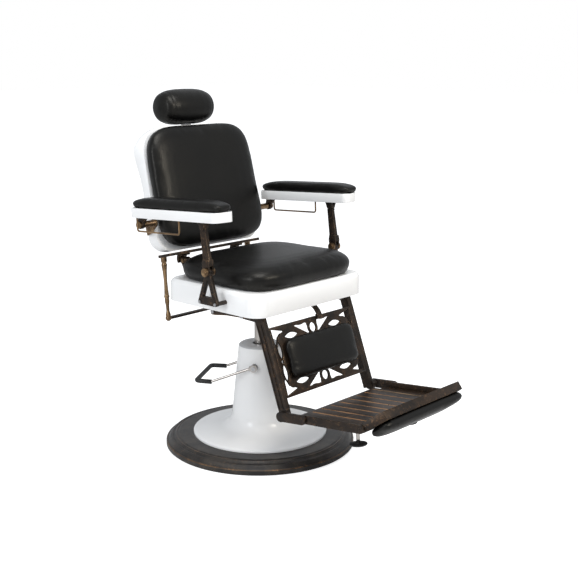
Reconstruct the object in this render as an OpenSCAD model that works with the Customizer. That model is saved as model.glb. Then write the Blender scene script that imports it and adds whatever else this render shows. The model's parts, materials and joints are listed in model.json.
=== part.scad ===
// Hydraulic barber chair.
// +Z is up, the chair faces -Y, and the sitter's right hand is on the -X side.
// The origin is the centre of the underside, on the column's axis.

/* [Base] */
// Radius of the cast base ring
base_r = 330; // [310:5:350]
// Height of the base ring's flat top
base_h = 40; // [24:1:34]
// Thickness of the rubber pad under the base
pad_t = 3; // [2:0.5:5]
// Wall of the base casting
base_wall = 8; // [6:1:10]
// Radius of the white skirt where it stands on the base ring
skirt_r = 234; // [210:2:250]
// Height of the skirt's upright edge
skirt_edge = 10; // [14:1:26]
// Radius of the column at its foot
column_foot_r = 99; // [92:1:108]
// Radius of the column at its top
column_top_r = 74; // [70:1:80]
// Height of the column's top
column_h = 352; // [344:2:366]
// Wall of the cover
cover_wall = 3; // [2:0.5:4]
// Thickness of the grey cap on the column
cap_t = 6; // [4:1:8]

/* [Pump] */
// Radius of the chrome ram
ram_r = 19; // [17:0.5:20]
// Radius of the ram's turned top, which carries the seat hub
spigot_r = 15; // [12:0.5:16]
// Outer radius of the oil cylinder
cylinder_r = 30; // [28:0.5:32]
// Radius of the oil tank
tank_r = 60; // [58:1:64]
// Height of the oil tank above the base
tank_h = 170; // [150:5:180]
// Radial play of the running fits
running_play = 0.05; // [0.03:0.01:0.08]
// Play between pieces that only pass each other
gap = 0.3; // [0.2:0.05:0.4]
// Radius of the plunger that the lever works
plunger_r = 6; // [5:0.5:7]

/* [Pump lever] */
// Height of the lever's shaft
lever_z = 290; // [280:2:300]
// Turn of the lever's shaft from the chair's X axis, in degrees
lever_turn = 30; // [20:1:40]
// Radius of the lever's stub shafts
shaft_r = 8; // [7:0.5:9]
// Radius of the lever's chrome rod
lever_rod_r = 4.5; // [4:0.5:6]
// Distance of the loop's end bar from the shaft
lever_reach = 204; // [180:2:220]
// Half the width of the loop
lever_half = 98; // [96:1:104]
// Drop of the loop's end below the shaft
lever_drop = 55; // [45:1:62]
// Length of the rubber grip along each arm
grip_side = 42; // [34:1:50]
// Thickness of the rubber on the rod
grip_wall = 3.5; // [2:0.5:5]

/* [Seat] */
// Height of the seat shell's lower edge, with the ram at its middle height
seat_z = 530; // [515:5:545]
// Width of the seat shell
shell_w = 540; // [530:2:546]
// Distance from the column's axis to the shell's front
shell_front = 248; // [240:1:254]
// Distance from the column's axis to the shell's rear
shell_rear = 186; // [180:1:196]
// Radius of the shell's corners in plan
shell_corner = 54; // [50:1:80]
// Height of the shell up to its ledge
shell_h = 74; // [70:1:78]
// Height of the rounded shoulder at the shell's top
shoulder_h = 14; // [10:1:18]
// Wall of the shell
shell_wall = 7; // [5:1:9]
// Width of the seat cushion
cushion_w = 498; // [480:2:510]
// Distance from the column's axis to the cushion's front
cushion_front = 249; // [242:1:255]
// Distance from the column's axis to the cushion's rear
cushion_rear = 176; // [172:1:186]
// Height of the seat cushion at its crown
cushion_h = 76; // [70:1:88]
// Thickness of the seat board
board_t = 12; // [10:1:15]
// Thickness of the steel plate under the board
frame_t = 6; // [4:1:8]

/* [Armrest linkage] */
// Distance of the arm linkage outside the seat shell's side
arm_out = 40; // [36:1:44]
// Distance of the post's foot pivot ahead of the column's axis
post_foot_y = 73; // [70:1:80]
// Height of the post's foot pivot above the seat shell's lower edge
post_foot_z = 135; // [128:1:140]
// Lean of the post: how far its top pivot is behind its foot pivot
post_lean = 18; // [14:1:20]
// Height of the post's top pivot above its foot pivot
post_rise = 144; // [142:1:150]
// Height of the post's top pivot above the armrest's rear pivot
post_over_pivot = 29; // [26:1:32]
// Distance of the arm's rear pivot behind the column's axis
arm_pivot_y = 248; // [244:1:252]
// Radius of the linkage pins
link_pin_r = 5; // [4:0.5:6]
// Radius of the eyes round the linkage pins
link_eye_r = 13; // [12:0.5:14]
// Thickness of the middle leaf at each linkage pivot
leaf_t = 12; // [10:1:13]
// Width of the post at its foot
post_foot_w = 34; // [30:1:38]
// Width of the post near its top
post_top_w = 25; // [22:1:28]
// Half the width of the bracket's lower edge
bracket_half = 43; // [38:1:46]
// Width of the bracket's legs
bracket_leg = 15; // [12:1:16]

/* [Armrests] */
// Width of the armrest
arm_w = 76; // [70:1:80]
// Length of the armrest
arm_len = 414; // [410:2:430]
// Height of the armrest's shell
arm_h = 32; // [30:1:38]
// Rise of the armrest towards its front, in degrees
arm_rise = 3.2; // [2:0.2:4]
// Thickness of the armrest pad at its crown
arm_pad_h = 31; // [24:1:32]
// Radius of the towel wire
wire_r = 3; // [2.5:0.5:4]
// Length of the towel wire
wire_len = 205; // [190:1:212]
// Drop of the towel wire below the armrest
wire_drop = 46; // [40:1:52]

/* [Back] */
// Lean of the back from upright, in degrees
back_lean = 14.3; // [13:0.1:15.5]
// Distance of the back's foot behind the column's axis
back_foot_y = 234; // [230:1:238]
// Height of the back's foot above the seat shell's lower edge
back_foot_z = 146; // [143:1:150]
// Height of the back cushion along the back
back_h = 428; // [410:2:430]
// Width of the back cushion at its foot
back_w = 488; // [470:2:494]
// Thickness of the back cushion
back_cushion_t = 54; // [44:1:60]
// Depth of the back shell at its waist
back_waist = 34; // [32:1:38]
// Depth of the back shell's bulge near the top
back_bulge = 56; // [50:1:60]
// Distance of the hinges from the centre plane
hinge_x = 129; // [120:1:140]
// Radius of the back's hinge pins
hinge_pin_r = 6; // [5:0.5:7]
// Distance of the spindles inside the back shell's side
spindle_in = 39; // [36:1:44]
// Height of the crossbar above the seat shell's lower edge, below it when negative
crossbar_z = -88; // [-94:1:-86]
// Distance of the crossbar behind the column's axis
crossbar_y = 241; // [238:1:246]
// Width of the crossbar
crossbar_w = 14; // [12:1:15]
// Thickness of the crossbar
crossbar_t = 8; // [6:1:9]
// Radius of the spindles at their bulge
spindle_r = 9.5; // [8:0.5:10]

/* [Headrest] */
// Radius of the headrest pillow
pillow_r = 64; // [58:1:68]
// Length of the headrest pillow
pillow_len = 240; // [260:2:300]
// Width of the headrest's flat post
stalk_w = 40; // [30:1:46]
// Thickness of the headrest's flat post
stalk_t = 8; // [6:1:9]

/* [Leg rest] */
// Lean of the leg rest from upright, in degrees
leg_lean = 20.4; // [18:0.2:22]
// Distance of the rails' top ahead of the column's axis
leg_top_y = 202; // [198:1:206]
// Distance of the rails' centre lines from the centre plane
rail_x = 212; // [208:1:215]
// Width of a rail seen from the front
rail_w = 20; // [16:1:22]
// Depth of a rail
rail_d = 32; // [30:1:40]
// Length of a rail
rail_len = 330; // [324:1:336]
// Height of the scroll panel
panel_h = 229; // [224:1:234]
// Distance of the panel's top edge below the rails' top
panel_top = 43; // [40:1:48]
// Thickness of the scroll panel
panel_t = 8; // [6:1:10]
// Width of the calf pad
calf_w = 312; // [300:2:320]
// Height of the calf pad
calf_h = 130; // [120:2:136]
// Thickness of the calf pad at its crown
calf_t = 27; // [22:1:34]

/* [Footrest] */
// Distance of the footrest's hinge ahead of the column's axis
foot_y = 405; // [402:1:410]
// Height of the footrest's hinge below the seat shell's lower edge
foot_down = 296; // [292:1:300]
// Rise of the footrest towards its front, in degrees
foot_rise = 5.8; // [5:0.2:6.6]
// Distance between the footrest's hinge and the toe board's hinge
foot_len = 222; // [216:1:228]
// Height of the footrest's side plates
side_h = 27; // [24:1:30]
// Thickness of a side plate
side_t = 8; // [6:1:9]
// Number of grooves in the tread
groove_n = 9; // [6:1:12]
// Radius of the rubber feet
foot_r = 28; // [24:1:32]
// Drop of the rubber feet below the tread
foot_drop = 74; // [60:1:80]
// Angle of the toe board above level, in degrees
toe_angle = 37; // [34:1:42]
// Length of the toe board from its hinge
toe_len = 85; // [78:1:92]
// Thickness of the toe board
toe_t = 28; // [25:1:29]

/* [Hidden] */
$fn = 72;

enamel = "#f2f2ee";
vinyl = "#1d1d1f";
bronze = "#3a2d24";
copper = "#8a6a4c";
chrome = "#c9ccd0";
steel = "#8f9296";
rubber = "#151515";
wood = "#b58d5c";

RIGHT = -1;
LEFT = 1;

// Base and pump
rim_w = 26;
web_z = base_h - base_wall;
tank_z = base_h - base_wall;
hub_r = tank_r + 8;
cylinder_top = column_h - 14;
cylinder_floor = 10;
ram_foot = 190;
ram_top = seat_z - 42;
spigot_len = 27;
cap_hole_r = ram_r + 7;
yoke_in = cylinder_r + 16;
yoke_out = yoke_in + 10;
yoke_t = 12;
shaft_in = yoke_out - 2;
column_slope = (column_foot_r - column_top_r) / (column_h - 85);
column_at_lever = column_foot_r - (lever_z - 85) * column_slope;
shaft_out = column_at_lever + 8;
bush_out = column_at_lever + 4;
bush_r = shaft_r + 5;
boss_r = 10;
clamp_end = boss_r + 5;
plunger_s = yoke_in + 5;
plunger_top = lever_z - yoke_t / 2 - 0.6;
plunger_foot = 120;
plunger_sump = 45;
bolt_ring = tank_r - 12;
// Bends of the loop's rod on one side, from the clamp to the end bar
lever_bend = [lever_half, lever_reach * 0.74, -lever_drop];
lever_corner = 14;
lever_end = [lever_half - 3, lever_reach - lever_corner, -lever_drop];

// Seat
ledge_z = seat_z + shell_h;
board_top = ledge_z - shell_wall;
frame_top = board_top - board_t;
frame_z = frame_top - frame_t;
ledge_in = 42;
hub_wall = 14;
hub_out = spigot_r + hub_wall;
flange_r = 105;
flange_t = 8;

// Armrest linkage, all in the YZ plane: [y, z above the seat shell's lower edge]
arm_x = shell_w / 2 + arm_out;
post_foot = [-post_foot_y, post_foot_z];
post_top = post_foot + [post_lean, post_rise];
arm_pivot_z = post_foot_z + post_rise - post_over_pivot;
arm_pivot = [arm_pivot_y, arm_pivot_z];
// The back's pivot closes the parallelogram of post, armrest and back
back_pivot = arm_pivot - (post_top - post_foot);
fork_t = 5;
fork_gap = leaf_t / 2 + gap;
knob_t = 7;
knob_r = 14;
// Height of the arm bracket's lower edge
bracket_foot = 28;
// Post's top pivot seen from the armrest's own frame
arm_to_post = post_top - arm_pivot;
fork_at = [arm_to_post.x * cos(arm_rise) - arm_to_post.y * sin(arm_rise),
           arm_to_post.x * sin(arm_rise) + arm_to_post.y * cos(arm_rise)];

// Armrests, in the armrest's own frame: origin at its rear pivot
arm_under = 28;
arm_tail = 8;
arm_inset = 2;
iron_t = 12;
wire_bend = 8;

// Back
back_foot = [back_foot_y, back_foot_z];
board_back_t = 10;
trim_t = 10;
band_w = 40;
band_t = 6;
tongue_w = 18;
cheek_t = 6;
trim_top = -6;
trim_low = trim_top - trim_t;
trim_front = 22;
trim_rear = 41;
spindle_x = back_w / 2 - spindle_in;
spindle_seat = trim_rear - 11;
// Top of a spindle, on the underside of the trim
spindle_top = back_foot + [spindle_seat * cos(back_lean) + trim_low * sin(back_lean),
                           trim_low * cos(back_lean) - spindle_seat * sin(back_lean)];
spindle_foot = [crossbar_y, crossbar_z];
spindle_len = norm(spindle_top - spindle_foot);
ball_r = 10.5;
// The back's hinge and the armrest's rear pivot, seen from the back's own frame
hinge_at = in_back(back_pivot);
stub_at = in_back(arm_pivot);
stub_plate_x = back_w / 2 + 4.5;
stub_end = arm_x - iron_t / 2 - gap - 3;
stalk_y = shell_wall + 7;
stalk_foot = back_h - 150;
pillow_z = back_h + pillow_r + 2;
pillow_y = stalk_y + stalk_t / 2 - 6;

// Leg rest, in its own frame: origin between the rails' tops
rail_front = -rail_d / 2;
panel_z = -panel_top - panel_h / 2;
panel_w = 2 * rail_x - rail_w - 2 * gap;
calf_board_t = 5;
leg_pivot = [-140, -12];
leg_arm_t = 8;
leg_arm_x = rail_x + rail_w / 2;
rail_end = [-leg_top_y - rail_len * sin(leg_lean), -6 - rail_len * cos(leg_lean)];
// Strap under the seat: its arc's centre and inner radius, and where it turns up
brace_x = 35;
brace_w = 22;
brace_t = 5;
brace_hub = [-186, -64];
brace_r = 57;
brace_rear = -150;

// Footrest
foot_hinge = [-foot_y, -foot_down];
side_x = rail_x + rail_w / 2 + 2;
lug_x = side_x + side_t + gap;
lug_t = 10;
tread_t = 8;
tread_rear = 58;
tread_front = foot_len - 32;
stem_x = 132;
stem_y = 132;
stem_r = 6;
toe_half = side_x - 2;
toe_half_end = 198;

// ---- helpers ----

// A point of the YZ plane, turned from the seat's frame into the back's frame
function in_back(p) = let (d = p - back_foot)
  [d.x * cos(back_lean) - d.y * sin(back_lean), d.x * sin(back_lean) + d.y * cos(back_lean)];

// Round bar between two points
module rod(p, q, r) {
  d = q - p;
  translate(p) rotate([0, acos(d.z / norm(d)), atan2(d.y, d.x)]) cylinder(h = norm(d), r = r);
}

// Round bar along X
module x_rod(x0, x1, p, r) {
  translate([x0, p.x, p.y]) rotate([0, 90, 0]) cylinder(h = x1 - x0, r = r);
}

// Flat plate whose outline is drawn in the YZ plane
module x_plate(x0, x1) {
  translate([x0, 0, 0]) rotate([90, 0, 90]) linear_extrude(x1 - x0) children();
}

// Straight bar with round ends, as one outline in 2D
module bar2(p, q, r) {
  a = atan2(q.y - p.y, q.x - p.x);
  polygon(concat([for (t = [90:12:270]) p + r * [cos(a + t), sin(a + t)]],
                 [for (t = [-90:12:90]) q + r * [cos(a + t), sin(a + t)]]));
}

module round_rect(w, d, r) {
  square([w - 2 * r, d], center = true);
  square([w, d - 2 * r], center = true);
  for (sx = [-1, 1], sy = [-1, 1]) translate([sx * (w / 2 - r), sy * (d / 2 - r)]) circle(r);
}

module on_side(side) {
  if (side < 0) mirror([1, 0, 0]) children();
  else children();
}

module both_sides() {
  on_side(LEFT) children();
  on_side(RIGHT) children();
}

module at_seat() { translate([0, 0, seat_z]) children(); }

// The lever's frame: X along its shaft, Y towards the loop
module at_lever() { translate([0, 0, lever_z]) rotate(lever_turn) children(); }

// The armrest's frame: origin at the rear pivot, -Y towards the front
module at_arm(side) {
  on_side(side) translate([arm_x, arm_pivot.x, seat_z + arm_pivot.y]) rotate([-arm_rise, 0, 0]) children();
}

// The back's frame: Z up along the back, +Y to the rear
module at_back() {
  translate([0, back_foot.x, seat_z + back_foot.y]) rotate([-back_lean, 0, 0]) children();
}

// The leg rest's frame: Z up along the rails, -Y to the front
module at_leg() {
  translate([0, -leg_top_y, seat_z - 6]) rotate([-leg_lean, 0, 0]) children();
}

// The footrest's frame: origin on its hinge, -Y to the front
module at_foot() {
  translate([0, foot_hinge.x, seat_z + foot_hinge.y]) rotate([-foot_rise, 0, 0]) children();
}

// The toe board's frame: origin on its hinge, -Y along the board
module at_toe() {
  at_foot() translate([0, -foot_len, 0]) rotate([foot_rise - toe_angle, 0, 0]) children();
}

// ---- cushions ----
// A cushion is a stack of rings. Each ring is a superellipse, drawn in between its corners.

function bend(v, e) = sign(v) * pow(abs(v), e);

// One point of an outline: a = angle, s = [half width, half depth], e = corner sharpness
function outline(a, s, e, pull) =
  let (x = bend(cos(a), e), y = bend(sin(a), e))
  [s.x * x * (1 - pull * (1 - abs(y))), s.y * y * (1 - pull * (1 - abs(x)))];

// Share of the full outline and of the full height at step t, from 0 at the flat to 1 at the crown
function ring_size(t) = t < 0.25 ? 0.955 + 0.045 * sin(360 * t) : pow(cos((t - 0.25) * 120), 0.42);
function ring_rise(t) = t < 0.25 ? 1.7 * t : 0.425 + 0.575 * pow(sin((t - 0.25) * 120), 0.8);

// size = [width, depth, height], e = corner sharpness, roll = extra height along the front edge
module cushion(size, e, pull = 0.02, roll = 0, sides = 48, rings = 9, taper = 0) {
  levels = [for (k = [0:rings - 1]) k / rings];
  points = concat(
    [[0, 0, 0]],
    [for (t = levels, i = [0:sides - 1])
      let (f = ring_size(t),
           p = outline(360 * i / sides, [size.x / 2 * f, size.y / 2 * f], e, pull),
           front = max(0, -2 * p.y / size.y))
      [p.x * (1 - taper * p.y / size.y), p.y, ring_rise(t) * (size.z + roll * front * t)]],
    [[0, 0, size.z]]);
  last = len(points) - 1;
  faces = concat(
    [for (i = [0:sides - 1]) [0, 1 + i, 1 + (i + 1) % sides]],
    [for (k = [0:rings - 2], i = [0:sides - 1])
      let (a = 1 + k * sides + i, b = 1 + k * sides + (i + 1) % sides)
      [a, a + sides, b]],
    [for (k = [0:rings - 2], i = [0:sides - 1])
      let (a = 1 + k * sides + i, b = 1 + k * sides + (i + 1) % sides)
      [b, a + sides, b + sides]],
    [for (i = [0:sides - 1]) [last, last - sides + (i + 1) % sides, last - sides + i]]);
  polyhedron(points, faces);
}

// ---- base ----

module floor_pad() {
  color(rubber) cylinder(h = pad_t, r = base_r - 4, $fn = 144);
}

module base_ring() {
  color(bronze) rotate_extrude($fn = 144) union() {
    polygon([[base_r, pad_t], [base_r, pad_t + 20], [base_r - 18, base_h - 3],
             [base_r - 22, base_h - 3], [base_r - rim_w, base_h - 6],
             [base_r - rim_w - 6, base_h], [hub_r, base_h], [hub_r, web_z],
             [base_r - rim_w - 8, web_z], [base_r - rim_w - 8, pad_t]]);
    translate([base_r - rim_w, base_h - 3]) circle(3, $fn = 24);
    translate([tank_r + gap, pad_t]) square([hub_r - tank_r - gap, base_h - pad_t]);
  }
}

// Outer line of the cover, from the skirt's foot to the column's top
function cover_line(d) = [
  [skirt_r - d, base_h + gap], [skirt_r - d, base_h + skirt_edge - 6 - d],
  [skirt_r - 6 - d, base_h + skirt_edge - d],
  [column_foot_r + 24, 64 - d], [column_foot_r + 8 - d, 70 - d / 2], [column_foot_r - d, 85],
  [column_top_r - d, column_h]];

module pump_cover() {
  line = cover_line(0);
  wall = cover_line(cover_wall);
  back_up = [for (i = [len(wall) - 1:-1:0]) wall[i]];
  color(enamel) difference() {
    rotate_extrude($fn = 144) polygon(concat(line, back_up));
    at_lever() x_rod(-base_r, base_r, [0, 0], bush_r + 0.01);
  }
}

module cover_cap() {
  color("#b9bbbd") translate([0, 0, column_h]) difference() {
    cylinder(h = cap_t, r = column_top_r - 1, $fn = 144);
    translate([0, 0, -1]) cylinder(h = cap_t + 2, r = cap_hole_r);
  }
}

module pump_tank() {
  color(steel) difference() {
    translate([0, 0, pad_t]) cylinder(h = tank_z + tank_h - pad_t, r = tank_r);
    translate([0, 0, cylinder_floor]) cylinder(h = tank_z + tank_h, r = cylinder_r);
    at_lever() translate([0, plunger_s, plunger_foot - lever_z - plunger_sump])
      cylinder(h = lever_z, r = plunger_r + running_play);
    for (a = [45:90:315]) rotate(a) translate([bolt_ring, 0, 0]) cylinder(h = 30, r = 4);
  }
}

module pump_cylinder() {
  color(steel) difference() {
    translate([0, 0, cylinder_floor]) cylinder(h = cylinder_top - 26 - cylinder_floor, r = cylinder_r);
    translate([0, 0, cylinder_floor + 8]) cylinder(h = column_h, r = ram_r + 2);
  }
}

module gland_nut() {
  color(steel) translate([0, 0, cylinder_top - 26]) difference() {
    cylinder(h = 26, r = cylinder_r + 1);
    translate([0, 0, -1]) cylinder(h = 28, r = ram_r + running_play);
  }
}

module ram_seal() {
  color(rubber) translate([0, 0, cylinder_top]) difference() {
    cylinder(h = column_h - cylinder_top + cap_t - 2, r = cap_hole_r - gap);
    translate([0, 0, -1]) cylinder(h = 40, r = ram_r + running_play);
  }
}

module base_bolts() {
  color(steel) for (a = [45:90:315]) rotate(a) translate([bolt_ring, 0, pad_t])
    cylinder(h = 27 - pad_t, r = 3.9);
}

module lever_bushes() {
  color(steel) at_lever() both_sides() difference() {
    x_rod(column_at_lever - 10, bush_out, [0, 0], bush_r);
    x_rod(0, base_r, [0, 0], shaft_r + running_play);
  }
}

// ---- pump lever ----

module lever_yoke() {
  color(steel) at_lever() {
    difference() {
      translate([0, 0, -yoke_t / 2]) cylinder(h = yoke_t, r = yoke_out);
      translate([0, 0, -yoke_t]) cylinder(h = 2 * yoke_t, r = yoke_in);
    }
    both_sides() x_rod(shaft_in - 4, shaft_out + 12, [0, 0], shaft_r);
  }
}

// The rounded corner, as an arc of points
function corner_arc(side) = [for (a = [0:15:90])
  [side * (lever_end.x - lever_corner + lever_corner * cos(a)), lever_end.y + lever_corner * sin(a), lever_end.z]];

function backwards(list) = [for (i = [len(list) - 1:-1:0]) list[i]];

function one_side(side) = concat(
  [[side * (shaft_out + 6), shaft_r + 0.5, -1], [side * (shaft_out + 6), boss_r + 6, -2],
   [side * (lever_bend.x - 1), lever_bend.y - 8, lever_bend.z + 3],
   [side * lever_bend.x, lever_bend.y + 6, lever_bend.z]],
  corner_arc(side));

// Tube of flat facets through a list of points, none of which runs along up
module tube(path, r, sides = 12, up = [0, 0, 1]) {
  last = len(path) - 1;
  along = [for (i = [0:last]) path[min(i + 1, last)] - path[max(i - 1, 0)]];
  points = [for (i = [0:last], k = [0:sides - 1])
    let (d = along[i] / norm(along[i]),
         u = cross(d, up) / norm(cross(d, up)),
         v = cross(d, u),
         a = 360 * k / sides)
    path[i] + r * (cos(a) * u + sin(a) * v)];
  walls = [for (i = [0:last - 1], k = [0:sides - 1])
    let (a = i * sides + k, b = i * sides + (k + 1) % sides)
    [a, b, b + sides, a + sides]];
  ends = [[for (k = [sides - 1:-1:0]) k], [for (k = [0:sides - 1]) last * sides + k]];
  polyhedron(points, concat(walls, ends));
}

module lever_rod() {
  color(chrome) at_lever() tube(concat(one_side(RIGHT), backwards(one_side(LEFT))), lever_rod_r);
}

// Rubber sleeve, pushed on over the loop's end
module lever_grip() {
  y = lever_end.y - grip_side;
  path = concat([[-lever_half + 1, y, -lever_drop]], corner_arc(RIGHT), backwards(corner_arc(LEFT)),
                [[lever_half - 1, y, -lever_drop]]);
  color(rubber) at_lever() tube(path, lever_rod_r + grip_wall);
}

module lever_clamps() {
  color(chrome) at_lever() both_sides() {
    difference() {
      union() {
        x_rod(bush_out + 1, shaft_out + 11, [0, 0], boss_r + 2);
        translate([bush_out + 1, 0, -7]) cube([shaft_out + 10 - bush_out, clamp_end, 14]);
      }
      x_rod(0, base_r, [0, 0], shaft_r);
      rod([shaft_out + 6, 0, 0.13], [shaft_out + 6, boss_r + 6, -2], lever_rod_r + gap);
      translate([shaft_out + 2, 0, 0]) cylinder(h = 30, r = 2.5);
    }
    translate([shaft_out + 2, 0, shaft_r]) cylinder(h = 8, r = 2.5);
  }
}

module pump_plunger() {
  color(chrome) at_lever() translate([0, plunger_s, 0]) {
    translate([0, 0, plunger_foot - lever_z]) cylinder(h = plunger_top - plunger_foot, r = plunger_r);
  }
}

module ram() {
  color(chrome) {
    translate([0, 0, ram_foot]) cylinder(h = ram_top - ram_foot, r = ram_r);
    translate([0, 0, ram_top]) cylinder(h = spigot_len, r = spigot_r);
  }
}

// ---- seat ----

module seat_plate() {
  color(steel) difference() {
    union() {
      translate([0, 0, ram_top + gap]) cylinder(h = frame_z - ram_top - gap, r = hub_out);
      translate([0, 0, frame_z - flange_t]) cylinder(h = flange_t, r = flange_r);
    }
    translate([0, 0, ram_top]) cylinder(h = spigot_len + gap, r = spigot_r + running_play);
    for (a = [45:90:315]) rotate(a) translate([flange_r - 15, 0, 0]) cylinder(h = seat_z * 2, r = 5);
  }
}

module seat_frame() {
  color(steel) difference() {
    translate([0, (shell_rear - shell_front) / 2, frame_z]) linear_extrude(frame_t)
      round_rect(shell_w - 60, shell_front + shell_rear - 60, 30);
    for (a = [45:90:315]) rotate(a) translate([flange_r - 15, 0, 0]) cylinder(h = seat_z * 2, r = 5);
  }
}

module seat_board() {
  color(wood) translate([0, (shell_rear - shell_front) / 2, frame_top]) linear_extrude(board_t)
    round_rect(shell_w - 30, shell_front + shell_rear - 30, shell_corner - 15);
}

module shell_slab(inset, z, h) {
  translate([0, (shell_rear - shell_front) / 2, z]) linear_extrude(h)
    round_rect(shell_w - 2 * inset, shell_front + shell_rear - 2 * inset, shell_corner - inset);
}

module seat_shell() {
  color(enamel) difference() {
    union() {
      shell_slab(0, seat_z, shell_h - shoulder_h);
      hull() {
        shell_slab(0, ledge_z - shoulder_h - 0.5, 0.5, $fn = 32);
        shell_slab(4, ledge_z - shoulder_h / 2, 0.5, $fn = 32);
        shell_slab(12, ledge_z - 0.5, 0.5, $fn = 32);
      }
    }
    shell_slab(shell_wall + 5, seat_z - 1, board_top - seat_z + 1);
    shell_slab(ledge_in + 20, seat_z - 1, shell_h + 2);
  }
}

module seat_cushion() {
  depth = cushion_front + cushion_rear;
  color(vinyl) translate([0, (cushion_rear - cushion_front) / 2, ledge_z + gap])
    cushion([cushion_w, depth, cushion_h], 0.42, 0.015, 6, 60, 11);
}

module seat_bolts() {
  color(steel) {
    for (a = [45:90:315]) rotate(a) translate([flange_r - 15, 0, frame_z - flange_t - 6]) {
      cylinder(h = 6, r = 9);
      cylinder(h = flange_t + frame_t + 6, r = 5);
    }
    both_sides() at_seat() for (y = [-8, leg_pivot.x])
      x_rod(leg_arm_x + leg_arm_t, leg_arm_x + leg_arm_t + 5, [y, leg_pivot.y + (y > -50 ? -6 : 0)], 7);
    both_sides() at_seat() for (s = [-1, 1])
      x_rod(arm_x + leaf_t / 2, arm_x + leaf_t / 2 + 3,
            [post_foot.x + s * (bracket_half - 8), bracket_foot + 7], 5);
  }
}

// Open triangle that carries the armrest's post, with two cast bosses that reach the shell
module arm_bracket(side) {
  apex = post_foot;
  a = [apex.x - bracket_half + 8, bracket_foot + 8];
  b = [apex.x + bracket_half - 8, bracket_foot + 8];
  color(bronze) at_seat() on_side(side) difference() {
    union() {
      x_plate(arm_x - leaf_t / 2, arm_x + leaf_t / 2) {
        bar2(a, apex, bracket_leg / 2);
        bar2(b, apex, bracket_leg / 2);
        bar2(a, b, 8);
        translate(a) translate([0, -8]) square([b.x - a.x, 26]);
        translate(apex) circle(link_eye_r);
      }
      for (p = [a, b]) x_rod(shell_w / 2, arm_x, p, 7);
    }
    x_rod(0, arm_x * 2, apex, link_pin_r);
  }
}

module arm_bracket_right() { arm_bracket(RIGHT); }
module arm_bracket_left() { arm_bracket(LEFT); }

// Two forks on the shell's rear wall, which hold the back's hinge pins
module hinge_posts() {
  p = back_pivot;
  wall = shell_rear;
  color(bronze) at_seat() both_sides() difference() {
    union() {
      x_plate(hinge_x - band_w / 2, hinge_x + band_w / 2)
        translate([wall, 14]) square([6, 44]);
      for (s = [-1, 1])
        x_plate(hinge_x + s * (tongue_w / 2 + gap + cheek_t / 2) - cheek_t / 2,
                hinge_x + s * (tongue_w / 2 + gap + cheek_t / 2) + cheek_t / 2) {
          polygon([[wall + 1, 16], [wall + 10, 16], [p.x + 6, p.y - 10], [p.x - 11, p.y - 4],
                   [wall + 8, 62], [wall + 1, 56]]);
          translate(p) circle(12);
        }
    }
    x_rod(0, shell_w, p, hinge_pin_r);
  }
}

// The back's two hinge pins, and the two pins that the armrest posts turn on
module hinge_pins() {
  grip = tongue_w / 2 + gap + cheek_t;
  span = fork_gap + fork_t;
  color(copper) at_seat() both_sides() {
    x_rod(hinge_x - grip - 2, hinge_x + grip + 2, back_pivot, hinge_pin_r);
    x_rod(arm_x - span - gap, arm_x + span + gap, post_foot, link_pin_r);
    for (s = [-1, 1]) on_knob_side(s, span) {
      cylinder(h = knob_t, r = knob_r);
      translate([0, 0, knob_t]) cylinder(h = 3, r = knob_r - 5);
    }
  }
}

module on_knob_side(s, span) {
  translate([arm_x + s * (span + gap), post_foot.x, post_foot.y]) rotate([0, s * 90, 0]) children();
}

// Flat arms bolted up to the steel plate, which carry the leg rest
module leg_arms() {
  color(bronze) both_sides() x_plate(leg_arm_x, leg_arm_x + leg_arm_t)
    translate([0, seat_z]) polygon([
      [leg_pivot.x - 12, leg_pivot.y - 6], [leg_pivot.x - 12, leg_pivot.y + 9], [-110, frame_z - seat_z],
      [-20, frame_z - seat_z], [-20, 0], [2, 0], [6, -14], [2, -30], [-14, -30], [-70, -22]]);
}

// Point of the leg rest's side outline, given in the leg rest's own frame
function at_rail(p) = [
  -leg_top_y + p.x * cos(leg_lean) + p.y * sin(leg_lean),
  -6 - p.x * sin(leg_lean) + p.y * cos(leg_lean)];

module leg_rails() {
  color(bronze) both_sides() {
    difference() {
      at_seat() x_plate(rail_x - rail_w / 2, rail_x + rail_w / 2) rail_outline();
      at_leg() for (y = [-8, 8])
        translate([rail_x + rail_w / 2 - 2, y - 3, 30 - rail_len]) cube([4, 6, rail_len - 56]);
    }
    foot_lug();
  }
}

module rail_outline() {
  polygon([at_rail([rail_front, 0]), at_rail([rail_front + rail_d, 0]),
           at_rail([rail_front + rail_d, -rail_len]), at_rail([rail_front, -rail_len])]);
  bar2([-leg_top_y + 4, leg_pivot.y - 4], leg_pivot + [0, -2], 9);
}

// Step out from the rail's foot, with the lug that carries the footrest's hinge
module foot_lug() {
  at_seat() difference() {
    union() {
      x_plate(rail_x, lug_x + lug_t - 2) bar2(rail_end + [2, 8], rail_end + [-4, 10], 16);
      x_plate(lug_x, lug_x + lug_t) bar2(rail_end + [0, 10], foot_hinge, 15);
    }
    x_rod(rail_x, lug_x + lug_t * 2, foot_hinge, link_pin_r + running_play);
  }
}

// One corner of the scroll panel's openings, drawn round the panel's centre
module panel_cuts() {
  // leaf beside the ring
  difference() {
    polygon([[-88, 101], [-24, 101], [-16, 68], [-30, 66]]);
    translate([0, 81]) circle(22);
    translate([-88, 55]) circle(39);
    translate([-56, 131]) circle(32.5);
  }
  // lens over the pad
  intersection() {
    translate([-108, 22]) circle(62);
    translate([-108, 128]) circle(62.5);
    translate([-166, 60]) square([112, 40]);
  }
  // corner
  difference() {
    polygon([[-195, 109], [-138, 94], [-172, 80], [-184, 52], [-193, 62]]);
    translate([-150, 118]) circle(20);
    translate([-150, 68]) circle(22);
  }
  // lens beside the pad
  intersection() {
    translate([-216, 36]) circle(50);
    translate([-136, 36]) circle(50);
  }
}

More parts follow.
